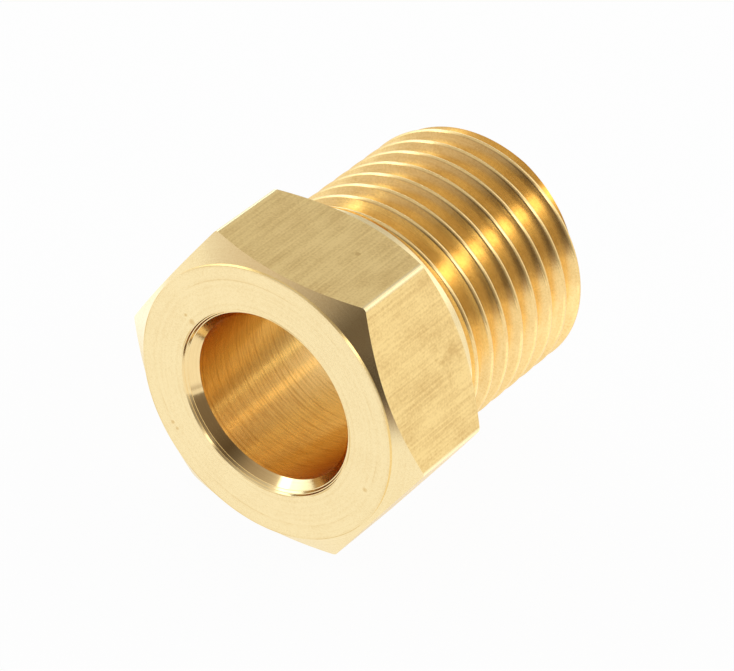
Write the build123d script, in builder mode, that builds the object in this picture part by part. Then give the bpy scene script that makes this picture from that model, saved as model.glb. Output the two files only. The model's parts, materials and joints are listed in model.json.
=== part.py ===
from build123d import *
import os
from math import cos, radians, tan

# Male compression nut for a 10 mm tube: an M16 x 1.5 shank behind an 18 mm hexagon head, turned
# from one piece of brass hexagon bar. Millimetres.
#
# The nut lies on one flat of its hexagon, as it comes to rest on a bench. +X runs along its axis
# from the head's face to the end of the shank, +Z is up, and the origin is below the middle of
# the nut, on the surface that it lies on.

# Hexagon head
across_flats = 18.0
corner_radius = 0.2          # rounded edges of the drawn bar
head_length = 7.7
face_diameter = 17.5         # flat ring that the chamfer leaves round the bore
face_land = 0.2              # straight edge of that ring, before the chamfer starts
face_chamfer_angle = 30.0    # from the plane of the face
back_diameter = 17.4         # flat ring behind the head
back_chamfer_angle = 35.0    # from the plane of the back

# Plain neck behind the head
collar_diameter = 16.4
collar_length = 1.05
relief_diameter = 13.8       # narrow groove that the thread runs out into
relief_width = 0.45

# Shank, whose outside is the crest of an M16 x 1.5 right-hand thread
thread_diameter = 16.0
thread_length = 11.8
end_chamfer = 0.5            # at 45 degrees

# Way for the tube
bore_diameter = 10.55
mouth_diameter = 11.85       # countersink in the head's face
mouth_depth = 0.8
seat_diameter = 12.2         # cone in the shank's end, which closes the sleeve on the tube
seat_depth = 0.8

# Stations along the axis, which lies half the hexagon above the bench
nut_length = head_length + collar_length + relief_width + thread_length
axis_height = across_flats / 2
face_x = -nut_length / 2
back_x = face_x + head_length
collar_x = back_x + collar_length
thread_x = collar_x + relief_width
end_x = thread_x + thread_length

# Radii
face_r = face_diameter / 2
back_r = back_diameter / 2
collar_r = collar_diameter / 2
relief_r = relief_diameter / 2
thread_r = thread_diameter / 2
bore_r = bore_diameter / 2
mouth_r = mouth_diameter / 2
seat_r = seat_diameter / 2
corner_r = across_flats / 2 / cos(radians(30))

turning_axis = Axis((0, 0, axis_height), (1, 0, 0))
bar_end = Plane(origin=(face_x, 0, axis_height), x_dir=(0, 1, 0), z_dir=(1, 0, 0))
half_section = Plane(origin=(0, 0, axis_height), x_dir=(1, 0, 0), z_dir=(0, -1, 0))

with BuildPart() as tube_nut:
    # Head: a length of hexagon bar, turned to a chamfer at both ends
    with BuildSketch(bar_end) as bar:
        RegularPolygon(radius=across_flats / 2, side_count=6, major_radius=False)
        fillet(bar.vertices(), radius=corner_radius)
    extrude(amount=head_length)
    face_rise = (corner_r - face_r) * tan(radians(face_chamfer_angle))
    back_rise = (corner_r - back_r) * tan(radians(back_chamfer_angle))
    with BuildSketch(half_section) as chamfers:
        with BuildLine():
            Polyline(
                (face_x, 0),
                (face_x, face_r),
                (face_x + face_land, face_r),
                (face_x + face_land + face_rise, corner_r),
                (back_x - back_rise, corner_r),
                (back_x, back_r),
                (back_x, 0),
                close=True,
            )
        make_face()
    revolve(axis=turning_axis, mode=Mode.INTERSECT)

    # Collar, relief and shank in one turning
    with BuildSketch(half_section) as turning:
        with BuildLine():
            Polyline(
                (back_x, 0),
                (back_x, collar_r),
                (collar_x, collar_r),
                (collar_x, relief_r),
                (thread_x, relief_r),
                (thread_x, thread_r),
                (end_x - end_chamfer, thread_r),
                (end_x, thread_r - end_chamfer),
                (end_x, 0),
                close=True,
            )
        make_face()
    revolve(axis=turning_axis)

    # Bore through the nut, countersunk at the head and coned at the shank's end
    with BuildSketch(half_section) as way:
        with BuildLine():
            Polyline(
                (face_x, 0),
                (face_x, mouth_r),
                (face_x + mouth_depth, bore_r),
                (end_x - seat_depth, bore_r),
                (end_x, seat_r),
                (end_x, 0),
                close=True,
            )
        make_face()
    revolve(axis=turning_axis, mode=Mode.SUBTRACT)

tube_nut.part.label = "tube_nut"

os.makedirs("parts", exist_ok=True)
export_step(tube_nut.part, "parts/tube_nut.step")
print("tube_nut", tube_nut.part.is_valid, round(tube_nut.part.volume, 1), "mm3")
print("size", tube_nut.part.bounding_box().min, tube_nut.part.bounding_box().max)
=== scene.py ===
# %% [markdown]
# # A compression nut, turned from brass hexagon bar
#
# The nut slides over a tube and screws into a fitting. A spanner turns its hexagon head, and the
# shank behind the head carries a fine right-hand thread. This lesson makes the nut the way a
# lathe does: a turned blank, a piece of hexagon bar that gives it flats, and one cutter that
# winds the thread round the shank.

import json
from math import atan2, ceil, cos, degrees, pi, radians, sin, tan

import bpy
from mathutils import Euler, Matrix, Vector


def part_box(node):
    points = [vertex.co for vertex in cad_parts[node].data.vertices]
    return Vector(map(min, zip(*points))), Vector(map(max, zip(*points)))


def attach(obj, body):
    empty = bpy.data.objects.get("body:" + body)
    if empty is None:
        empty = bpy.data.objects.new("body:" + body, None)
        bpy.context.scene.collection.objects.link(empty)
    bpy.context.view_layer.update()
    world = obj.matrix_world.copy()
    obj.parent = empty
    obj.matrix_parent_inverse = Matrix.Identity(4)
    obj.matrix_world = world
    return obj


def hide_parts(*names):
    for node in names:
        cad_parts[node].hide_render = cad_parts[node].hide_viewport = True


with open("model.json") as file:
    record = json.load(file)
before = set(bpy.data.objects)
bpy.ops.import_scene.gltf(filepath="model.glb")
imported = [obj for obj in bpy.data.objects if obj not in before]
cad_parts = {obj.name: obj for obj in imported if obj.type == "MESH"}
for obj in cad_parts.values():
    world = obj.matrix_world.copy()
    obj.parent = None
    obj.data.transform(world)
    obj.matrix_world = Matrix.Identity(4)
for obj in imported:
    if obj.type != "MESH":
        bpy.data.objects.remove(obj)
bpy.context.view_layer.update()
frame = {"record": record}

# %% [markdown]
# ## Sizes
#
# The frame already knows the nut's main sizes: its box gives the length and the width across
# the flats, and its mounts give the radius of the thread and of the bore. The sizes that only
# the looks need are named here, in metres.

# %% Sizes from the frame, and the finer ones
MM = 0.001

low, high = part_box("tube_nut")
face_x, end_x = low[0], high[0]
across_flats = high[2] - low[2]
axis_height = across_flats / 2
corner_r = across_flats / 2 / cos(radians(30))
mounts = {mount["name"]: mount for mount in frame["record"]["mounts"]}
thread_r = mounts["thread"]["dims"]["r_mm"] * MM
bore_r = mounts["tube_bore"]["dims"]["r_mm"] * MM

# Head
back_x = face_x + 7.7 * MM
bar_edge = 0.35 * MM             # rounding of the drawn bar's long edges
face_r = 8.75 * MM
face_land = 0.2 * MM             # straight rim before the front chamfer starts
face_slope = tan(radians(30))
back_r = 8.7 * MM
back_slope = tan(radians(35))

# Neck
collar_x = back_x + 1.05 * MM
collar_r = 8.2 * MM
thread_x = collar_x + 0.45 * MM
relief_r = 6.9 * MM
relief_floor = 0.06 * MM         # the side towards the thread slopes

# Thread
pitch = 1.5 * MM
flank_angle = radians(27.5)      # from square across the axis
thread_depth = 0.6403 * pitch
thread_round = 0.1373 * pitch    # of the crests and of the roots
crest_width = 0.04 * MM          # what is left of the turned shank
groove_x = thread_x + 0.853 * MM     # middle of a groove, on top of the nut
end_chamfer = 0.5 * MM

# Way for the tube
mouth_r = 5.925 * MM
mouth_depth = 0.8 * MM
mouth_steps = [(0.26 * MM, 5.69 * MM), (0.12 * MM, 5.82 * MM)]     # depth and radius
step_width = 0.04 * MM
seat_r = 6.1 * MM
seat_depth = 0.8 * MM

steps_round = 192                # facets in one turn
steps_arc = 6                    # facets in each small arc of the thread
print("thread radius", thread_r / MM, "bore radius", bore_r / MM, "mm")

# %% [markdown]
# ## Helpers
#
# An operator acts on all that is selected, so each step starts with nothing selected. These
# small functions keep that habit in one place, and `settle` leaves a piece's object at the
# origin, unturned and unscaled.

# %% Selecting and settling
def select_only(*pieces):
    """Only these objects are selected, and the first is active."""
    if bpy.context.object and bpy.context.object.mode != "OBJECT":
        bpy.ops.object.mode_set(mode="OBJECT")
    bpy.ops.object.select_all(action="DESELECT")
    for piece in pieces:
        piece.select_set(True)
    bpy.context.view_layer.objects.active = pieces[0] if pieces else None


def settle(piece, name):
    """Names a new piece and puts its place and turn into its mesh."""
    select_only(piece)
    piece.name = piece.data.name = name
    bpy.ops.object.transform_apply(location=True, rotation=True, scale=True)
    return piece


def tidy_shell(piece):
    """Merges what lies on itself, drops loose edges and turns every face outwards."""
    select_only(piece)
    bpy.ops.object.mode_set(mode="EDIT")
    bpy.ops.mesh.select_all(action="SELECT")
    bpy.ops.mesh.remove_doubles(threshold=1e-7)
    bpy.ops.mesh.delete_loose()
    bpy.ops.mesh.select_all(action="SELECT")
    bpy.ops.mesh.normals_make_consistent(inside=False)
    bpy.ops.object.mode_set(mode="OBJECT")


def combine(piece, tool, operation):
    """Applies a Boolean modifier with the tool, and removes the tool."""
    select_only(piece)
    cut = piece.modifiers.new(operation.lower(), "BOOLEAN")
    cut.object = tool
    cut.operation = operation
    cut.solver = "EXACT"
    bpy.ops.object.modifier_apply(modifier=cut.name)
    bpy.data.objects.remove(tool)
    print(piece.name, operation.lower(), len(piece.data.polygons), "faces")


print("helpers:", select_only.__name__, settle.__name__, tidy_shell.__name__, combine.__name__)

# %% [markdown]
# ## The turned blank
#
# Everything a lathe makes is a section turned about one axis. A circle is added on the head's
# face and extruded from station to station, and at each station it is scaled to the radius that
# the tool cuts there. The last ring meets the first, so the blank is a closed ring with the bore
# already in it.

# %% How to turn a section
def turned(name, stations):
    """A closed ring about the nut's axis, from the (station, radius) points of its section."""
    select_only()
    x, r = stations[0]
    bpy.ops.mesh.primitive_circle_add(
        vertices=steps_round, radius=r, location=(x, 0, axis_height), rotation=(0, pi / 2, 0)
    )
    piece = settle(bpy.context.object, name)
    bpy.ops.object.mode_set(mode="EDIT")
    bpy.ops.mesh.select_all(action="SELECT")
    for next_x, next_r in stations[1:] + stations[:1]:
        bpy.ops.mesh.extrude_region_move(TRANSFORM_OT_translate={"value": (next_x - x, 0, 0)})
        scale = next_r / r
        bpy.ops.transform.resize(value=(1, scale, scale), center_override=(next_x, 0, axis_height))
        x, r = next_x, next_r
    tidy_shell(piece)
    return piece


# %% The section of the blank
beyond_r = corner_r + 0.5 * MM
outside = [
    (face_x, face_r),
    (face_x + face_land, face_r),
    (face_x + face_land + (beyond_r - face_r) * face_slope, beyond_r),
    (back_x - (beyond_r - back_r) * back_slope, beyond_r),
    (back_x, back_r),
    (back_x, collar_r),
    (collar_x, collar_r),
    (collar_x, relief_r),
    (collar_x + relief_floor, relief_r),
    (thread_x, thread_r),
    (end_x - end_chamfer, thread_r),
    (end_x, thread_r - end_chamfer),
]
inside = [
    (end_x, seat_r),
    (end_x - seat_depth, bore_r),
    (face_x + mouth_depth, bore_r),
]
for depth, r in mouth_steps:
    inside += [(face_x + depth, r), (face_x + depth, r + step_width)]
inside.append((face_x, mouth_r))
print(len(outside), "stations outside,", len(inside), "in the way for the tube")

# %% Turn it
nut = turned("brass_nut", outside + inside)
print(nut.name, len(nut.data.polygons), "faces")

# %% [markdown]
# ## The hexagon bar
#
# The head's flats are the flats of the bar that the nut is cut from, so they are not turned at
# all. A six-sided cylinder is the bar. Its long edges are bevelled a little, as drawn bar has no
# knife edges. What the bar and the turned blank share is the nut: each chamfer then meets each
# flat in the curved line that a real nut shows.

# %% Give the head its flats
overrun = 1 * MM
select_only()
bpy.ops.mesh.primitive_cylinder_add(
    vertices=6,
    radius=corner_r,
    depth=end_x - face_x + 2 * overrun,
    location=((face_x + end_x) / 2, 0, axis_height),
    rotation=(0, pi / 2, 0),
)
bar = settle(bpy.context.object, "hexagon_bar")
bpy.ops.object.mode_set(mode="EDIT")
bpy.ops.mesh.select_all(action="DESELECT")
bpy.ops.mesh.select_mode(type="EDGE")
bpy.ops.object.mode_set(mode="OBJECT")
for edge in bar.data.edges:
    start, stop = (bar.data.vertices[v].co for v in edge.vertices)
    edge.select = abs(stop.x - start.x) > overrun
bpy.ops.object.mode_set(mode="EDIT")
bpy.ops.mesh.bevel(offset=bar_edge * tan(radians(30)), segments=6, affect="EDGES")
bpy.ops.object.mode_set(mode="OBJECT")
print(bar.name, len(bar.data.polygons), "faces")
combine(nut, bar, "INTERSECT")

# %% [markdown]
# ## The thread
#
# A threading tool has the shape of the groove, and the lathe moves it one pitch along for each
# turn of the nut. The Screw modifier does the same with a drawn section. It goes over one crest,
# straight down a flank, round the root and up the other side. The flanks are drawn at 55 degrees
# to each other and the crests and roots are round: flanks as steep as that mirror each other, and
# light that meets the brass twice is what makes a thread look so much more golden than a flat.

# %% Draw the section of the groove
crest_middle = thread_r - thread_round
root_middle = thread_r - thread_depth + thread_round
crest_from = pi / 2 - crest_width / 2 / thread_round
half = []
for step in range(steps_arc + 1):
    angle = crest_from + (flank_angle - crest_from) * step / steps_arc
    x = -pitch / 2 + thread_round * cos(angle)
    half.append((x, crest_middle + thread_round * sin(angle)))
for step in range(steps_arc + 1):
    angle = flank_angle + (pi / 2 - flank_angle) * step / steps_arc
    half.append((-thread_round * cos(angle), root_middle - thread_round * sin(angle)))
clearance = 0.08 * MM            # the cutter starts outside the shank
left = [(half[0][0], thread_r + clearance)] + half
section = left + [(-x, r) for x, r in reversed(left[:-1])]
print("section of", len(section), "points,", round(thread_depth / MM, 3), "mm deep")

# %% [markdown]
# The section becomes the cutter. It starts on the flat side of the relief groove, where a real
# threading tool has room to stop, and runs out past the end of the shank. Bisect takes all that
# lies within its threshold for a part of the plane, and its own threshold of a tenth of a
# millimetre would leave the start ragged on a piece as small as this, so a finer one is given.

# %% Wind the cutter round the shank
select_only()
bpy.ops.mesh.primitive_circle_add(vertices=len(section), radius=MM, location=(0, 0, axis_height))
cutter = bpy.context.object
start_x = groove_x - 2 * pitch
for vertex, (x, r) in zip(cutter.data.vertices, section):
    vertex.co = (start_x + x, 0, r)
screw = cutter.modifiers.new("winding", "SCREW")
screw.axis = "X"
screw.screw_offset = pitch
screw.iterations = ceil((end_x - start_x) / pitch) + 1
screw.steps = screw.render_steps = steps_round
bpy.ops.object.modifier_apply(modifier=screw.name)
settle(cutter, "thread_cutter")
print(cutter.name, len(cutter.data.polygons), "faces")

# %% Trim its start, and cut the thread
bpy.ops.object.mode_set(mode="EDIT")
bpy.ops.mesh.select_all(action="SELECT")
bpy.ops.mesh.bisect(
    plane_co=(collar_x + 0.7 * relief_floor, 0, 0),
    plane_no=(1, 0, 0),
    clear_inner=True,
    threshold=1e-7,
)
bpy.ops.mesh.select_all(action="SELECT")
bpy.ops.mesh.fill_holes(sides=0)
tidy_shell(cutter)
reach = [v.co.x / MM for v in cutter.data.vertices]
print(cutter.name, "from", round(min(reach), 3), "to", round(max(reach), 3), "mm")
combine(nut, cutter, "DIFFERENCE")
tidy_shell(nut)

# %% [markdown]
# ## Is it right?
#
# Before any finish goes on, two things are measured. On top of the nut the floors of the groove
# should lie one pitch apart, which says that the winding kept its lead. And no edge may be open,
# because a turned part is one closed skin, as its STL file needs.

# %% Measure the groove
floor_r = thread_r - thread_depth
floors = [
    vertex.co.x
    for vertex in nut.data.vertices
    if abs(vertex.co.y) < 0.3 * MM
    and thread_x < vertex.co.x < end_x - 0.1 * MM
    and abs(vertex.co.z - axis_height - floor_r) < 0.02 * MM
]
turns = sorted({round((x - groove_x) / pitch) for x in floors})
off_lead = max(abs(x - groove_x - pitch * round((x - groove_x) / pitch)) for x in floors)
print("grooves on top:", len(turns), "within", round(off_lead / MM, 2), "mm of their place")

# %% Look for open edges
select_only(nut)
bpy.ops.object.mode_set(mode="EDIT")
bpy.ops.mesh.select_mode(type="EDGE")
bpy.ops.mesh.select_all(action="DESELECT")
bpy.ops.mesh.select_non_manifold()
bpy.ops.object.mode_set(mode="OBJECT")
print("open edges:", sum(edge.select for edge in nut.data.edges))

# %% [markdown]
# ## Smooth shading
#
# A cone or a cylinder is drawn here with flat facets, so its shading has to be smoothed, while
# each corner that a tool leaves has to stay crisp. The arcs of the thread turn about 10 degrees
# from facet to facet and its flanks are flat, so an angle of 13 degrees tells curves from
# corners. Weighted normals then let the large faces rule the small ones, which keeps a broad
# flat from looking bent next to its edge.

# %% Smooth the turned faces and keep the corners crisp
select_only(nut)
bpy.ops.object.shade_smooth_by_angle(angle=radians(13))
weights = nut.modifiers.new("weights", "WEIGHTED_NORMAL")
weights.keep_sharp = True
bpy.ops.object.modifier_apply(modifier=weights.name)
print(nut.name, sum(face.use_smooth for face in nut.data.polygons), "smooth faces")

# %% [markdown]
# ## Brass, and what each tool leaves on it
#
# The metal is the same all over, but five tools have touched it. Turned faces carry rings round
# the axis, the flats carry the straight lines of the drawing die, the bore shows the drill, the
# thread shows the chaser, and the countersink has burnished its two cones. The turned finish is
# also given a paler base colour than the others, a painted highlight for the bright light on the
# faces it covers. Fine marks spread a reflection across themselves and not along themselves,
# which is anisotropy. So every finish is given the direction round the axis as its tangent, and
# turned finishes turn it by a quarter.
#
# The patterns read Object coordinates with the nut's axis as their middle. A few helpers keep
# each finish short, and the first three only calculate: `calc` is one Math node, `vector_calc`
# one Vector Math node, and `fade` lets a value come and go softly.

# %% Nodes that calculate
def calc(tree, operation, *values):
    """The result of one Math node; a value is a number or another node's output."""
    math_node = tree.nodes.new("ShaderNodeMath")
    math_node.operation = operation
    for socket, value in zip(math_node.inputs, values):
        if isinstance(value, (int, float)):
            socket.default_value = value
        else:
            tree.links.new(value, socket)
    return math_node.outputs[0]


def vector_calc(tree, operation, first, second=None):
    """The vector result of one Vector Math node."""
    vector_node = tree.nodes.new("ShaderNodeVectorMath")
    vector_node.operation = operation
    for socket, value in zip(vector_node.inputs, (first, second)):
        if isinstance(value, tuple):
            socket.default_value = value
        elif value is not None:
            tree.links.new(value, socket)
    return vector_node.outputs["Value" if operation in ("LENGTH", "DISTANCE") else "Vector"]


def fade(tree, value, start, stop, low=0.0, high=1.0):
    """Turns a value from start to stop into low to high, smoothly, and holds it beyond."""
    ease = tree.nodes.new("ShaderNodeMapRange")
    ease.interpolation_type = "SMOOTHSTEP"
    tree.links.new(value, ease.inputs["Value"])
    ease.inputs["From Min"].default_value = start
    ease.inputs["From Max"].default_value = stop
    ease.inputs["To Min"].default_value = low
    ease.inputs["To Max"].default_value = high
    return ease.outputs["Result"]


print("nodes that calculate:", calc.__name__, vector_calc.__name__, fade.__name__)

# %% [markdown]
# ### Marks
#
# Three kinds of mark cover all that tools and handling leave. `speckle` is noise in space, which
# is drawn out into streaks where its scale differs along x, y and z. `lines` is noise along one
# value only, so it draws rings when it is given the distance along the axis. `spot` is one mark
# at one place. `weigh` adds such marks up into one share of dark metal.

# %% Nodes that draw marks
def speckle(tree, place, scale, detail=2.0):
    """Noise from 0 to 1, with a half in the middle; scale may differ along x, y and z."""
    noise = tree.nodes.new("ShaderNodeTexNoise")
    noise.inputs["Scale"].default_value = 1.0
    noise.inputs["Detail"].default_value = detail
    tree.links.new(vector_calc(tree, "MULTIPLY", place, scale), noise.inputs["Vector"])
    return noise.outputs["Fac"]


def lines(tree, value, per_metre, detail=3.0):
    """Noise along one value only, so that it draws lines where the value is constant."""
    noise = tree.nodes.new("ShaderNodeTexNoise")
    noise.noise_dimensions = "1D"
    noise.inputs["Scale"].default_value = per_metre
    noise.inputs["Detail"].default_value = detail
    tree.links.new(value, noise.inputs["W"])
    return noise.outputs["Fac"]


def spot(tree, place, middle, size):
    """One at a point of the nut, in millimetres from its axis, and nought beyond the size."""
    distance = vector_calc(tree, "DISTANCE", place, tuple(c * MM for c in middle))
    return fade(tree, distance, size * MM, size * MM * 0.25)


def weigh(tree, share, *marks):
    """Adds noise, which lies around a half, to the share; each comes with its weight."""
    for noise, weight in marks:
        share = calc(tree, "MULTIPLY_ADD", calc(tree, "SUBTRACT", noise, 0.5), weight, share)
    return share


print("nodes that draw marks:", speckle.__name__, lines.__name__, spot.__name__, weigh.__name__)

# %% [markdown]
# ### The metal
#
# `brass` starts a finish. Its tangent is the cross product of the axis and the direction away
# from it, which runs round the nut at every point. How rough and how anisotropic the finish is
# goes on the shader's own sockets. `colour_by` and `relief_by` then let the marks act on the
# colour, as light and dark metal, and on the surface, as very shallow bumps.

# %% Nodes for the metal
def brass(name, roughness, anisotropy, turn):
    """A brass material, its tree, its place, and how far that is along the axis and from it."""
    material = bpy.data.materials.new(name)
    material.use_nodes = True
    tree = material.node_tree
    shader = tree.nodes["Principled BSDF"]
    shader.inputs["Metallic"].default_value = 1
    shader.inputs["Roughness"].default_value = roughness
    shader.inputs["Anisotropic"].default_value = anisotropy
    shader.inputs["Anisotropic Rotation"].default_value = turn
    coordinates = tree.nodes.new("ShaderNodeTexCoord")
    place = vector_calc(tree, "SUBTRACT", coordinates.outputs["Object"], (0, 0, axis_height))
    across = vector_calc(tree, "MULTIPLY", place, (0, 1, 1))
    tree.links.new(vector_calc(tree, "CROSS_PRODUCT", across, (-1, 0, 0)), shader.inputs["Tangent"])
    apart = tree.nodes.new("ShaderNodeSeparateXYZ")
    tree.links.new(place, apart.inputs[0])
    return material, tree, place, apart.outputs["X"], vector_calc(tree, "LENGTH", across)


def blend_of(tree, share, first, second):
    """A colour that runs from the first to the second with the share."""
    mix = tree.nodes.new("ShaderNodeMix")
    mix.data_type = "RGBA"
    tree.links.new(share, mix.inputs["Factor"])
    first_socket, second_socket = mix.inputs[6:8]
    for socket, colour in ((first_socket, first), (second_socket, second)):
        if isinstance(colour, tuple):
            socket.default_value = (*colour, 1)
        else:
            tree.links.new(colour, socket)
    return mix.outputs[2]


def colour_by(tree, share, light, dark):
    """The base colour runs from light to dark with the share."""
    colour = blend_of(tree, calc(tree, "MAXIMUM", share, 0), light, dark)
    tree.links.new(colour, tree.nodes["Principled BSDF"].inputs["Base Color"])


def relief_by(tree, height, depth):
    """The height, from 0 to 1, presses marks of this depth into the surface."""
    bump = tree.nodes.new("ShaderNodeBump")
    bump.inputs["Distance"].default_value = depth
    tree.links.new(height, bump.inputs["Height"])
    tree.links.new(bump.outputs["Normal"], tree.nodes["Principled BSDF"].inputs["Normal"])


print("nodes for the metal:", brass.__name__, colour_by.__name__, relief_by.__name__)

# %% [markdown]
# ### Turned faces
#
# The face, the chamfers and the collar were faced on the lathe. The tool moves a few hundredths
# of a millimetre with each turn, and leaves rings of slightly different brightness. The rings
# are noise along the section alone: distance from the axis plus distance along it, so that they
# show on a flat face, a cone and a cylinder alike. Three scribed rings, burrs at the mouth and
# a few small dents break up the face. The base colour is paler than that of the other finishes,
# which is painted highlight for these brightly lit faces.

# %% Turned finish
turned_brass_painted_highlight, tree, place, along, radius = brass("turned_brass_painted_highlight", 0.22, 0.6, 0.25)
profile = calc(tree, "ADD", along, calc(tree, "MULTIPLY", radius, 0.8))
rings = lines(tree, profile, 5200, 4)
patches = speckle(tree, place, (500, 500, 500), 4)
grain = speckle(tree, place, (9000, 9000, 9000), 2)
share = weigh(tree, 0.1, (rings, 0.4), (patches, 0.35), (grain, 0.8))
print(turned_brass_painted_highlight.name, "with", len(tree.nodes), "nodes so far")

# %% Rings, burrs and dents on the face
uneven = fade(tree, speckle(tree, place, (350, 350, 350), 3), 0.4, 0.62)
on_face = fade(tree, along, face_x + 0.05 * MM, face_x + 0.02 * MM)
for ring_r, half_width, strength in ((7.85, 0.06, 0.5), (8.71, 0.04, 0.8), (5.99, 0.07, 1.2)):
    off = calc(tree, "ABSOLUTE", calc(tree, "SUBTRACT", radius, ring_r * MM))
    ring = calc(tree, "MULTIPLY", fade(tree, off, half_width * MM, 0), on_face)
    share = calc(tree, "MULTIPLY_ADD", calc(tree, "MULTIPLY", ring, uneven), strength, share)
face_mm = face_x / MM
for middle, size in (
    ((face_mm, 5.47, 2.95), 0.28),
    ((face_mm, 5.95, 3.20), 0.16),
    ((face_mm, 6.19, -4.82), 0.20),
    ((face_mm, 5.85, -5.10), 0.16),
    ((face_mm, -7.34, -2.09), 0.22),
):
    share = calc(tree, "MULTIPLY_ADD", spot(tree, place, middle, size), 0.8, share)
# The light colour is paler than the brass of the other finishes: painted highlight, standing in for
# the bright light on the face, the chamfers and the collar.
colour_by(tree, share, (1.0, 0.82, 0.46), (0.80, 0.57, 0.25))
relief_by(tree, calc(tree, "ADD", rings, calc(tree, "MULTIPLY", grain, 0.5)), 0.002 * MM)
print(turned_brass_painted_highlight.name, len(tree.nodes), "nodes")

# %% [markdown]
# ### Drawn flats
#
# Hexagon bar is pulled through a die, which scores it along its length. The noise here is
# stretched nearly sixty times along the nut, and a slower noise adds the dull mottling of bar
# that has lain in a store. One flat has a small pit, another has a stain where a drop of coolant
# dried.

# %% Drawn finish
drawn_brass, tree, place, along, radius = brass("drawn_brass", 0.3, 0.6, 0)
scores = speckle(tree, place, (130, 7500, 7500), 4)
mottle = speckle(tree, place, (420, 650, 650), 5)
grain = speckle(tree, place, (7000, 7000, 7000), 2)
share = weigh(tree, 0.3, (scores, 1.5), (mottle, 1.6), (grain, 1.5))
dried = fade(tree, speckle(tree, place, (1500, 1500, 1500), 4), 0.42, 0.62)
stain = calc(tree, "MULTIPLY", spot(tree, place, (-4.7, -8.0, 4.3), 2.4), dried)
share = calc(tree, "MULTIPLY_ADD", stain, 0.45, share)
pit = spot(tree, place, (-5.62, -1.93, 9.0), 0.2)
share = calc(tree, "MULTIPLY_ADD", pit, 1.8, share)
colour_by(tree, share, (0.97, 0.72, 0.31), (0.72, 0.48, 0.18))
relief_by(tree, calc(tree, "ADD", scores, mottle), 0.004 * MM)
print(drawn_brass.name, len(tree.nodes), "nodes")

# %% [markdown]
# ### The bore
#
# A drill cuts faster than it polishes: the bore has close, uneven rings and short torn marks
# along them. Light that reaches the camera from in here has met the metal two or three times,
# and each time the brass takes out more blue, so the bore looks far deeper in colour than the
# face, whose base colour is also a little paler, as painted highlight.

# %% Bored finish
bored_brass, tree, place, along, radius = brass("bored_brass", 0.22, 0.9, 0.25)
rings = lines(tree, along, 6000, 5)
torn = speckle(tree, place, (5200, 900, 900), 4)
grain = speckle(tree, place, (7000, 7000, 7000), 2)
share = weigh(tree, 0.2, (rings, 2.1), (torn, 1.9), (grain, 0.8))
colour_by(tree, share, (0.91, 0.69, 0.335), (0.70, 0.455, 0.17))
relief_by(tree, calc(tree, "ADD", rings, torn), 0.0035 * MM)
print(bored_brass.name, len(tree.nodes), "nodes")

# %% [markdown]
# ### The thread
#
# The chaser runs round the shank, so its marks do too. They are rings on the flanks with a
# torn, speckled grain between them.

# %% Threaded finish
threaded_brass, tree, place, along, radius = brass("threaded_brass", 0.19, 0.9, 0.25)
profile = calc(tree, "ADD", along, calc(tree, "MULTIPLY", radius, 0.8))
rings = lines(tree, profile, 6000, 3)
torn = speckle(tree, place, (5000, 1100, 1100), 4)
grain = speckle(tree, place, (7000, 7000, 7000), 2)
share = weigh(tree, 0.2, (rings, 0.5), (torn, 0.8), (grain, 1.1))
colour_by(tree, share, (0.99, 0.72, 0.32), (0.80, 0.51, 0.17))
relief_by(tree, calc(tree, "ADD", rings, torn), 0.0015 * MM)
print(threaded_brass.name, len(tree.nodes), "nodes")

# %% [markdown]
# ### Countersunk mouth and seat
#
# A countersink rubs as it cuts, and leaves a cone as bright as a mirror, with only a trace of
# rings. This finish has the lowest roughness of all.

# %% Reamed finish
reamed_brass, tree, place, along, radius = brass("reamed_brass", 0.11, 0.5, 0.25)
rings = lines(tree, calc(tree, "SUBTRACT", along, radius), 6000, 3)
patches = speckle(tree, place, (900, 900, 900), 4)
share = weigh(tree, 0.2, (rings, 0.9), (patches, 0.6))
colour_by(tree, share, (0.98, 0.75, 0.38), (0.80, 0.56, 0.25))
relief_by(tree, rings, 0.001 * MM)
print(reamed_brass.name, len(tree.nodes), "nodes")

# %% [markdown]
# ## Each face gets its finish
#
# A face's place and direction tell which tool made it. What looks at the axis from close by is
# bored, or countersunk where it also slopes. What lies behind the collar is threaded. What runs
# along the bar is a flat, but the bar's rounded edges get the turned finish, and with it its
# paler colour: a painted highlight along the edges.

# %% Tell the faces apart
finishes = [turned_brass_painted_highlight, drawn_brass, bored_brass, threaded_brass, reamed_brass]
by_turning, by_drawing, by_drill, by_chaser, by_countersink = range(len(finishes))


def made_by(face):
    """Which tool made this face of the nut, as a place in the list of finishes."""
    x, normal = face.center.x, face.normal
    across = Vector((0, face.center.y, face.center.z - axis_height))
    straight = abs(normal.x) < 0.01
    degrees_round = degrees(atan2(normal.z, normal.y))
    sixths = (degrees_round - 30) / 60
    off_flat = abs(sixths - round(sixths)) * 60
    if -normal.dot(across.normalized()) > 0.2 and across.length < seat_r + 0.1 * MM:
        return by_drill if straight else by_countersink
    if x > collar_x + 0.01 * MM:
        return by_chaser
    if face_x + face_land < x < back_x and straight and across.length > face_r and off_flat < 2:
        return by_drawing
    return by_turning


print("finishes:", [material.name for material in finishes])

# %% Give each face its finish
nut.data.materials.clear()
for material in finishes:
    nut.data.materials.append(material)
for face in nut.data.polygons:
    face.material_index = made_by(face)
for index, material in enumerate(finishes):
    print(material.name, sum(face.material_index == index for face in nut.data.polygons), "faces")

# %% [markdown]
# ## Into the frame
#
# The nut is one piece and has no joints, so it rides with the frame's root. It takes the place
# of the plain CAD nut.

# %% Join the frame
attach(nut, "root")
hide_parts("tube_nut")
print(nut.name, "replaces tube_nut")

# %% [markdown]
# ## The floor
#
# The nut lies on white paper. Bright paper would need more light than the brass can bear, so the
# camera, and the brass in its reflections, see the paper as nearly plain white, while all other
# light still treats it as paper. A little of the real paper stays in the mix and keeps the soft
# shadow under the nut.

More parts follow.
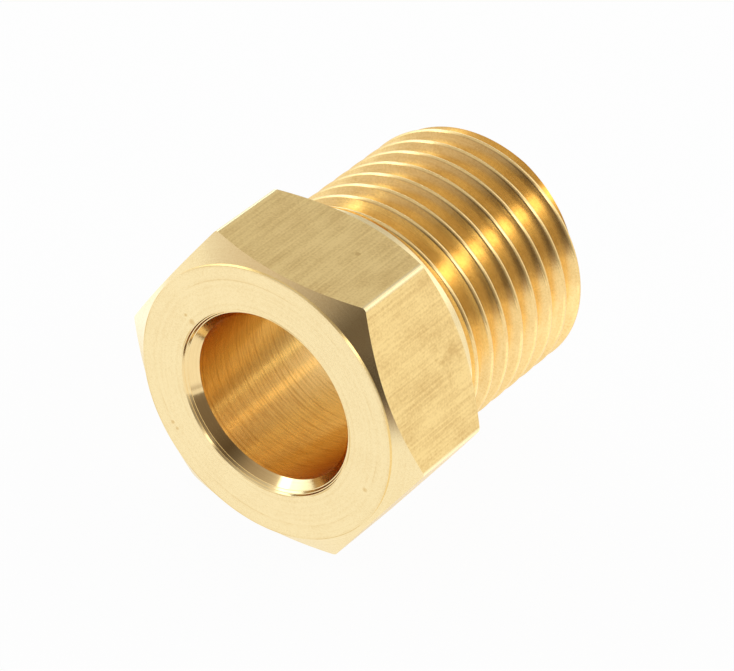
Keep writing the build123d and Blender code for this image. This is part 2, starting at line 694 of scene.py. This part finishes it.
# %% White for the camera, paper for the light
def shader_mix(tree, share, first, second):
    """The surface shows the first shader where the share is nought, the second where it is one."""
    mix = tree.nodes.new("ShaderNodeMixShader")
    for result, socket in zip((share, first, second), mix.inputs):
        tree.links.new(result, socket)
    tree.links.new(mix.outputs[0], tree.nodes["Material Output"].inputs["Surface"])


def shown_white(material, share_of_glow):
    """What the camera and the brass see of this surface is mostly plain white."""
    tree = material.node_tree
    rays = tree.nodes.new("ShaderNodeLightPath")
    seen = calc(tree, "MAXIMUM", rays.outputs["Is Camera Ray"], rays.outputs["Is Glossy Ray"])
    seen = calc(tree, "MAXIMUM", seen, rays.outputs["Is Transmission Ray"])
    glow = tree.nodes.new("ShaderNodeEmission")
    paper_shader = tree.nodes["Principled BSDF"].outputs[0]
    shader_mix(tree, calc(tree, "MULTIPLY", seen, share_of_glow), paper_shader, glow.outputs[0])


print("for the floor:", shown_white.__name__, "with", shader_mix.__name__)

# %% Lay the floor
select_only()
bpy.ops.mesh.primitive_plane_add(size=2)
floor = bpy.context.object
floor.name = "floor"
paper = bpy.data.materials.new("white_paper")
paper.use_nodes = True
shader = paper.node_tree.nodes["Principled BSDF"]
shader.inputs["Base Color"].default_value = (0.9, 0.9, 0.9, 1)
shader.inputs["Roughness"].default_value = 0.9
shown_white(paper, 0.96)
floor.data.materials.append(paper)
print(floor.name, "of", paper.name)

# %% [markdown]
# ## Plain light from all round
#
# The world gives an even white light of strength 1, at which a colour renders about as it is
# written. Bare metal has no colour of its own, it only tints what it mirrors, so the bore needs
# more glossy bounces than usual: light meets the brass many times before it comes out.

# %% World and view
scene = bpy.context.scene
scene.view_settings.view_transform = "Standard"
scene.cycles.glossy_bounces = 12
world = bpy.data.worlds.new("studio")
scene.world = world
world.use_nodes = True
background = world.node_tree.nodes["Background"]
background.inputs["Color"].default_value = (1, 1, 1, 1)
background.inputs["Strength"].default_value = 1
print("view", scene.view_settings.view_transform, "glossy bounces", scene.cycles.glossy_bounces)

# %% [markdown]
# ## A light tent
#
# Small polished parts are lit in a tent of tissue, because every lamp and every dark corner of
# the room would show in them. The tent here is a half sphere that glows and that the camera
# doesn't see. How bright it is follows the angle round the nut's axis: bands of lighter and
# darker tissue run along the nut, and they become the bright and dark stripes along the thread
# and the chamfers. Three colour ramps hold those bands: one for the sides, one for the front
# that the front chamfer looks at, and one for the rear.

# %% A ramp of tissue
def ramp_of(tree, name, share, stops):
    """Colours by (degrees, brightness, warmth) stops; what is dark is a brown room.

    The degrees go round the nut's axis, from its right side over the top to its left.
    """
    ramp = tree.nodes.new("ShaderNodeValToRGB")
    ramp.label = name
    tree.links.new(share, ramp.inputs["Fac"])
    elements = ramp.color_ramp.elements
    while len(elements) < len(stops):
        elements.new(0.5)
    for element, (degrees_round, bright, *warmth) in zip(elements, stops):
        warm = warmth[0] if warmth else max(0, 1 - 2 * bright)
        element.position = degrees_round / 180
        element.color = (bright, bright * (1 - 0.32 * warm), bright * (1 - 0.6 * warm), 1)
    return ramp.outputs["Color"]


side_stops = (
    (0, .75), (6, .58), (13, .42), (26, .42), (35, .62), (43, 1.3), (46, 2.4), (54, 2.4),
    (58, 1.1), (63, .42), (78, .42), (92, .62), (105, .72), (126, .66), (134, .95),
    (143, 1.8, -.5), (157, 1.75, -.5), (168, 1.3, -.4), (180, 1.1, -.3),
)
front_stops = (
    (0, .26), (10, .2), (40, .18), (72, .1), (85, .15, .5), (105, .38, .45), (130, .5, .4),
    (145, .68, .4), (165, .7, .35), (180, .8, .2),
)
rear_stops = (
    (0, 1.08), (8, 1.05), (15, .92), (25, 1), (35, 1.3), (60, 1.3), (80, 1.2), (93, .8),
    (105, .66), (117, .64), (126, .62), (135, .64), (145, .7), (156, .8), (161, 2.3, -.5),
    (166, 2.3, -.5), (172, .85), (180, .8),
)
print("stops at the sides, in front, behind:", len(side_stops), len(front_stops), len(rear_stops))

# %% The tissue
tissue = bpy.data.materials.new("tent_paper")
tissue.use_nodes = True
tree = tissue.node_tree
tree.nodes.remove(tree.nodes["Principled BSDF"])
coordinates = tree.nodes.new("ShaderNodeTexCoord")
apart = tree.nodes.new("ShaderNodeSeparateXYZ")
tree.links.new(vector_calc(tree, "NORMALIZE", coordinates.outputs["Object"]), apart.inputs[0])
axial = apart.outputs["X"]
right = calc(tree, "MULTIPLY", apart.outputs["Y"], -1)
share = calc(tree, "DIVIDE", calc(tree, "ARCTAN2", apart.outputs["Z"], right), pi)
sides = ramp_of(tree, "sides", share, side_stops)
front = ramp_of(tree, "front", share, front_stops)
rear = ramp_of(tree, "rear", share, rear_stops)
colour = blend_of(tree, fade(tree, axial, 0.42, 0.6), sides, rear)
colour = blend_of(tree, fade(tree, axial, -0.2, -0.5), colour, front)
glow = tree.nodes.new("ShaderNodeEmission")
tree.links.new(colour, glow.inputs["Color"])
tree.links.new(glow.outputs[0], tree.nodes["Material Output"].inputs["Surface"])
print(tissue.name, len(tree.nodes), "nodes")

# %% Put the tent up
select_only()
bpy.ops.mesh.primitive_uv_sphere_add(segments=48, ring_count=24, radius=0.5)
tent = bpy.context.object
tent.name = tent.data.name = "light_tent"
bpy.ops.object.mode_set(mode="EDIT")
bpy.ops.mesh.select_all(action="SELECT")
bpy.ops.mesh.bisect(plane_co=(0, 0, -0.001), plane_no=(0, 0, 1), clear_inner=True)
bpy.ops.object.mode_set(mode="OBJECT")
tent.data.materials.append(tissue)
tent.visible_camera = tent.visible_shadow = False
print(tent.name, len(tent.data.polygons), "faces")

# %% [markdown]
# ## Cards
#
# The light on a shiny part is finished with pieces of card: a pale one throws light on an edge,
# a dark one, called a flag, gives a face something dark to mirror. Each card has
# soft edges, so that its reflection has no hard border, and only the brass sees it. Two lie low
# in front and darken the mouth and one chamfer, three lie on the floor beside and behind the nut
# and lift its undersides, and a small bright one above is the window in the thread's highlight.

# %% How to make a card
nut_middle = Vector(((face_x + end_x) / 2, 0, axis_height))


def away_from_nut(azimuth, elevation, distance):
    """A point this far from the nut's middle; azimuth in degrees from +X towards +Y."""
    level = cos(radians(elevation))
    return nut_middle + distance * Vector(
        (level * cos(radians(azimuth)), level * sin(radians(azimuth)), sin(radians(elevation)))
    )


def card(name, place, facing, half_width, half_height, light):
    """A soft-edged glowing card that only the brass sees."""
    select_only()
    bpy.ops.mesh.primitive_plane_add(size=2, location=place)
    sheet = bpy.context.object
    sheet.name = sheet.data.name = name
    sheet.rotation_euler = facing.to_track_quat("Z", "Y").to_euler()
    sheet.scale = (half_width, half_height, 1)
    material = bpy.data.materials.new(name)
    material.use_nodes = True
    tree = material.node_tree
    tree.nodes.remove(tree.nodes["Principled BSDF"])
    coordinates = tree.nodes.new("ShaderNodeTexCoord")
    fall_off = tree.nodes.new("ShaderNodeTexGradient")
    fall_off.gradient_type = "SPHERICAL"
    tree.links.new(coordinates.outputs["Object"], fall_off.inputs[0])
    clear = tree.nodes.new("ShaderNodeBsdfTransparent")
    glow = tree.nodes.new("ShaderNodeEmission")
    glow.inputs["Color"].default_value = (*light, 1)
    solid = fade(tree, fall_off.outputs["Fac"], 0, 0.5)
    shader_mix(tree, solid, clear.outputs[0], glow.outputs[0])
    sheet.data.materials.append(material)
    sheet.visible_camera = sheet.visible_shadow = sheet.visible_diffuse = False
    print(name, "at", [round(c / MM) for c in place], "mm")


print("for the cards:", card.__name__, "and", away_from_nut.__name__)

# %% Cards that stand round the nut
low = away_from_nut(-165, -7, 0.07)
card("low_flag", low, low - nut_middle, 0.06, 0.026, (0.06, 0.045, 0.035))
window = away_from_nut(114, 31, 0.2)
card("window", window, window - nut_middle, 0.03, 0.03, (3.2, 3.2, 3.2))

# %% Cards that lie on the floor
for name, x, y, half_width, half_height, light in (
    ("front_card", -71, -36, 0.05, 0.037, (0.3, 0.22, 0.17)),
    ("left_card", -8, 32, 0.018, 0.018, (1.15, 1.25, 1.5)),
    ("right_card", 6, -22, 0.016, 0.016, (1.25, 1.25, 1.25)),
    ("rear_card", 21, 9, 0.014, 0.005, (1.8, 1.8, 1.6)),
):
    place = Vector((x, y, 0.1)) * MM
    card(name, place, Vector((0, 0, 1)), half_width, half_height, light)

# %% [markdown]
# ## The camera
#
# A long lens from well above and in front of the head shows the face, two flats and the whole
# thread at once, with parallel edges still nearly parallel. Its place and turn are in the
# frame's own metres and degrees.

# %% Camera
camera_data = bpy.data.cameras.new("camera")
camera_data.sensor_width = 36
camera_data.lens = 196.2
camera = bpy.data.objects.new("camera", camera_data)
camera.location = (-156.14 * MM, -97.25 * MM, 151.82 * MM)
camera.rotation_euler = Euler((radians(51.737), radians(-5.519), radians(-53.657)))
camera_data.clip_start = 0.01
scene.collection.objects.link(camera)
scene.camera = camera
print(camera.name, "lens", camera_data.lens, "mm")
